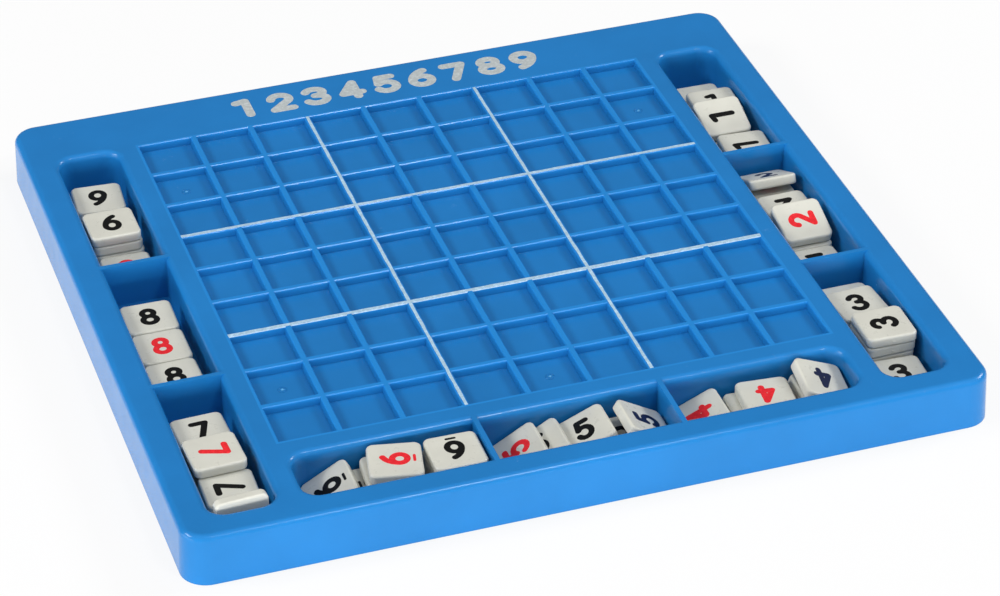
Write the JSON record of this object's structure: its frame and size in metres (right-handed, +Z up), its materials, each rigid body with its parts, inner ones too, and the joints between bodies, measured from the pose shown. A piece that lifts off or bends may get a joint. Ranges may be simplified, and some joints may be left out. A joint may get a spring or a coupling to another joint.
{
  "type": "number puzzle board",
  "caption": "Moulded puzzle board with a grid of shallow square cells and open trays along its sides and front, holding loose number tiles that lift out.",
  "frame": {"origin": "middle of the board's footprint on the table", "axes": "+Z up, +X to the right, +Y to the back, away from the front tray"},
  "size_m": [0.257, 0.2434, 0.0184],
  "materials": {
    "board": "satin gloss, fine moulded grain",
    "tile": "satin gloss, printed digits"
  },
  "bodies": {
    "board": {"board": "board"},
    "bed_1": {"bed_1": "tile"},
    "tile_1_a": {"tile_1_a": "tile"},
    "tile_1_b": {"tile_1_b": "tile"},
    "tile_1_c": {"tile_1_c": "tile"},
    "tile_1_d": {"tile_1_d": "tile"},
    "bed_2": {"bed_2": "tile"},
    "tile_2_a": {"tile_2_a": "tile"},
    "tile_2_b": {"tile_2_b": "tile"},
    "tile_2_c": {"tile_2_c": "tile"},
    "tile_2_d": {"tile_2_d": "tile"},
    "bed_3": {"bed_3": "tile"},
    "tile_3_a": {"tile_3_a": "tile"},
    "tile_3_b": {"tile_3_b": "tile"},
    "tile_3_c": {"tile_3_c": "tile"},
    "tile_3_d": {"tile_3_d": "tile"},
    "tile_3_e": {"tile_3_e": "tile"},
    "bed_4": {"bed_4": "tile"},
    "tile_4_a": {"tile_4_a": "tile"},
    "tile_4_b": {"tile_4_b": "tile"},
    "tile_4_c": {"tile_4_c": "tile"},
    "tile_4_d": {"tile_4_d": "tile"},
    "bed_5": {"bed_5": "tile"},
    "tile_5_a": {"tile_5_a": "tile"},
    "tile_5_b": {"tile_5_b": "tile"},
    "tile_5_c": {"tile_5_c": "tile"},
    "tile_5_d": {"tile_5_d": "tile"},
    "tile_5_e": {"tile_5_e": "tile"},
    "bed_6": {"bed_6": "tile"},
    "tile_6_a": {"tile_6_a": "tile"},
    "tile_6_b": {"tile_6_b": "tile"},
    "tile_6_c": {"tile_6_c": "tile"},
    "bed_7": {"bed_7": "tile"},
    "tile_7_a": {"tile_7_a": "tile"},
    "tile_7_b": {"tile_7_b": "tile"},
    "tile_7_c": {"tile_7_c": "tile"},
    "tile_7_d": {"tile_7_d": "tile"},
    "bed_8": {"bed_8": "tile"},
    "tile_8_a": {"tile_8_a": "tile"},
    "tile_8_b": {"tile_8_b": "tile"},
    "tile_8_c": {"tile_8_c": "tile"},
    "bed_9": {"bed_9": "tile"},
    "tile_9_a": {"tile_9_a": "tile"},
    "tile_9_b": {"tile_9_b": "tile"},
    "tile_9_c": {"tile_9_c": "tile"},
    "tile_9_d": {"tile_9_d": "tile"}
  },
  "joints": [
    {"name": "lift_1_a", "type": "slide", "parent": "bed_1", "child": "tile_1_a", "axis": [0, 0, 1], "range_m": [0, 0.03]},
    {"name": "lift_1_b", "type": "slide", "parent": "tile_1_a", "child": "tile_1_b", "axis": [0, 0, 1], "range_m": [0, 0.03]},
    {"name": "lift_1_c", "type": "slide", "parent": "tile_1_b", "child": "tile_1_c", "axis": [0, 0, 1], "range_m": [0, 0.03]},
    {"name": "lift_1_d", "type": "slide", "parent": "bed_1", "child": "tile_1_d", "axis": [0, 0, 1], "range_m": [0, 0.03]},
    {"name": "lift_2_a", "type": "slide", "parent": "bed_2", "child": "tile_2_a", "axis": [0, 0, 1], "range_m": [0, 0.03]},
    {"name": "lift_2_b", "type": "slide", "parent": "bed_2", "child": "tile_2_b", "axis": [0, 0, 1], "range_m": [0, 0.03]},
    {"name": "lift_2_c", "type": "slide", "parent": "tile_2_b", "child": "tile_2_c", "axis": [0, 0, 1], "range_m": [0, 0.03]},
    {"name": "lift_2_d", "type": "slide", "parent": "bed_2", "child": "tile_2_d", "axis": [0, 0, 1], "range_m": [0, 0.03]},
    {"name": "lift_3_a", "type": "slide", "parent": "bed_3", "child": "tile_3_a", "axis": [0, 0, 1], "range_m": [0, 0.03]},
    {"name": "lift_3_b", "type": "slide", "parent": "tile_3_a", "child": "tile_3_b", "axis": [0, 0, 1], "range_m": [0, 0.03]},
    {"name": "lift_3_c", "type": "slide", "parent": "tile_3_e", "child": "tile_3_c", "axis": [0, 0, 1], "range_m": [0, 0.03]},
    {"name": "lift_3_d", "type": "slide", "parent": "bed_3", "child": "tile_3_d", "axis": [0, 0, 1], "range_m": [0, 0.03]},
    {"name": "lift_3_e", "type": "slide", "parent": "bed_3", "child": "tile_3_e", "axis": [0, 0, 1], "range_m": [0, 0.03]},
    {"name": "lift_4_a", "type": "slide", "parent": "bed_4", "child": "tile_4_a", "axis": [0, 0, 1], "range_m": [0, 0.03]},
    {"name": "lift_4_b", "type": "slide", "parent": "tile_4_d", "child": "tile_4_b", "axis": [0, 0, 1], "range_m": [0, 0.03]},
    {"name": "lift_4_c", "type": "slide", "parent": "bed_4", "child": "tile_4_c", "axis": [0, 0, 1], "range_m": [0, 0.03]},
    {"name": "lift_4_d", "type": "slide", "parent": "bed_4", "child": "tile_4_d", "axis": [0, 0, 1], "range_m": [0, 0.03]},
    {"name": "lift_5_a", "type": "slide", "parent": "tile_5_b", "child": "tile_5_a", "axis": [0, 0, 1], "range_m": [0, 0.03]},
    {"name": "lift_5_b", "type": "slide", "parent": "tile_5_c", "child": "tile_5_b", "axis": [0, 0, 1], "range_m": [0, 0.03]},
    {"name": "lift_5_c", "type": "slide", "parent": "tile_5_e", "child": "tile_5_c", "axis": [0, 0, 1], "range_m": [0, 0.03]},
    {"name": "lift_5_d", "type": "slide", "parent": "tile_5_e", "child": "tile_5_d", "axis": [0, 0, 1], "range_m": [0, 0.03]},
    {"name": "lift_5_e", "type": "slide", "parent": "bed_5", "child": "tile_5_e", "axis": [0, 0, 1], "range_m": [0, 0.03]},
    {"name": "lift_6_a", "type": "slide", "parent": "bed_6", "child": "tile_6_a", "axis": [0, 0, 1], "range_m": [0, 0.03]},
    {"name": "lift_6_b", "type": "slide", "parent": "bed_6", "child": "tile_6_b", "axis": [0, 0, 1], "range_m": [0, 0.03]},
    {"name": "lift_6_c", "type": "slide", "parent": "bed_6", "child": "tile_6_c", "axis": [0, 0, 1], "range_m": [0, 0.03]},
    {"name": "lift_7_a", "type": "slide", "parent": "tile_7_c", "child": "tile_7_a", "axis": [0, 0, 1], "range_m": [0, 0.03]},
    {"name": "lift_7_b", "type": "slide", "parent": "tile_7_a", "child": "tile_7_b", "axis": [0, 0, 1], "range_m": [0, 0.03]},
    {"name": "lift_7_c", "type": "slide", "parent": "bed_7", "child": "tile_7_c", "axis": [0, 0, 1], "range_m": [0, 0.03]},
    {"name": "lift_7_d", "type": "slide", "parent": "board", "child": "tile_7_d", "axis": [0, 0, 1], "range_m": [0, 0.03]},
    {"name": "lift_8_a", "type": "slide", "parent": "bed_8", "child": "tile_8_a", "axis": [0, 0, 1], "range_m": [0, 0.03]},
    {"name": "lift_8_b", "type": "slide", "parent": "bed_8", "child": "tile_8_b", "axis": [0, 0, 1], "range_m": [0, 0.03]},
    {"name": "lift_8_c", "type": "slide", "parent": "bed_8", "child": "tile_8_c", "axis": [0, 0, 1], "range_m": [0, 0.03]},
    {"name": "lift_9_a", "type": "slide", "parent": "bed_9", "child": "tile_9_a", "axis": [0, 0, 1], "range_m": [0, 0.03]},
    {"name": "lift_9_b", "type": "slide", "parent": "tile_9_d", "child": "tile_9_b", "axis": [0, 0, 1], "range_m": [0, 0.03]},
    {"name": "lift_9_c", "type": "slide", "parent": "bed_9", "child": "tile_9_c", "axis": [0, 0, 1], "range_m": [0, 0.03]},
    {"name": "lift_9_d", "type": "slide", "parent": "bed_9", "child": "tile_9_d", "axis": [0, 0, 1], "range_m": [0, 0.03]},
    {"name": "lift_bed_1", "type": "slide", "parent": "board", "child": "bed_1", "axis": [0, 0, 1], "range_m": [0, 0.03]},
    {"name": "lift_bed_2", "type": "slide", "parent": "board", "child": "bed_2", "axis": [0, 0, 1], "range_m": [0, 0.03]},
    {"name": "lift_bed_3", "type": "slide", "parent": "board", "child": "bed_3", "axis": [0, 0, 1], "range_m": [0, 0.03]},
    {"name": "lift_bed_4", "type": "slide", "parent": "board", "child": "bed_4", "axis": [0, 0, 1], "range_m": [0, 0.03]},
    {"name": "lift_bed_5", "type": "slide", "parent": "board", "child": "bed_5", "axis": [0, 0, 1], "range_m": [0, 0.03]},
    {"name": "lift_bed_6", "type": "slide", "parent": "board", "child": "bed_6", "axis": [0, 0, 1], "range_m": [0, 0.03]},
    {"name": "lift_bed_7", "type": "slide", "parent": "board", "child": "bed_7", "axis": [0, 0, 1], "range_m": [0, 0.03]},
    {"name": "lift_bed_8", "type": "slide", "parent": "board", "child": "bed_8", "axis": [0, 0, 1], "range_m": [0, 0.03]},
    {"name": "lift_bed_9", "type": "slide", "parent": "board", "child": "bed_9", "axis": [0, 0, 1], "range_m": [0, 0.03]}
  ]
}
